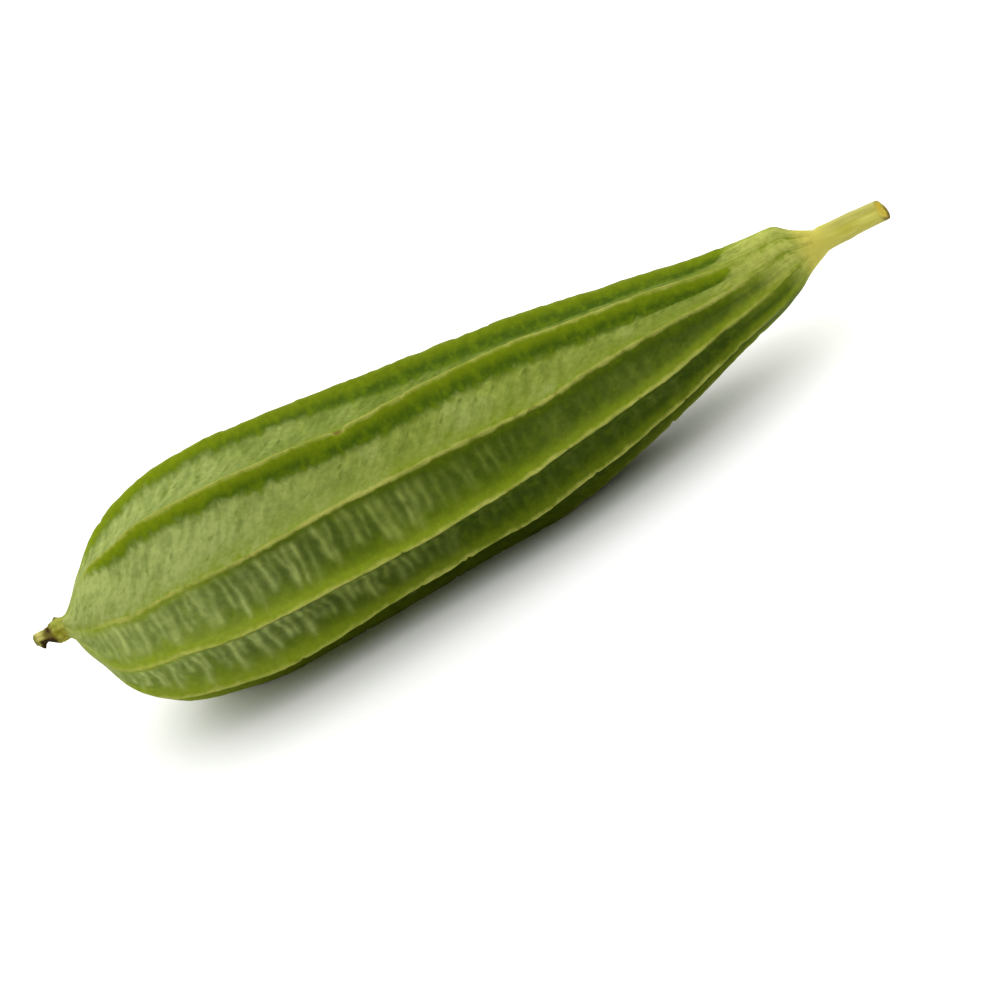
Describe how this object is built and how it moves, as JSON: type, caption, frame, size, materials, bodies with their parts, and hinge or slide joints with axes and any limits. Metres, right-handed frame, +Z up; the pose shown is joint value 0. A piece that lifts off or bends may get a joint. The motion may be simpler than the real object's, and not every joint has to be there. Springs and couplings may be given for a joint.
{
  "type": "ridge gourd",
  "caption": "Whole ridge gourd with lengthwise ridges and hollows, cut stem and dried flower end, lying on its side as picked; a vegetable for kitchens and market displays",
  "frame": {"origin": "on the resting surface, under the middle of the whole gourd's box", "axes": "+Z up, +X along the gourd from the flower end to the stem end, +Y to the left of +X"},
  "size_m": [0.2548, 0.068, 0.0645],
  "materials": {
    "rind": "fresh green gourd rind with a thin waxy bloom, softly glossy, paler on the ridges",
    "stem": "green woody stalk, satin, with faint lengthwise ribs and a browned cut end",
    "dried_flower": "dried flower remnant, dull and crumpled, olive turning brown"
  },
  "bodies": {
    "root": {"fruit": "rind", "stem": "stem", "flower_remnant": "dried_flower"}
  },
  "joints": []
}
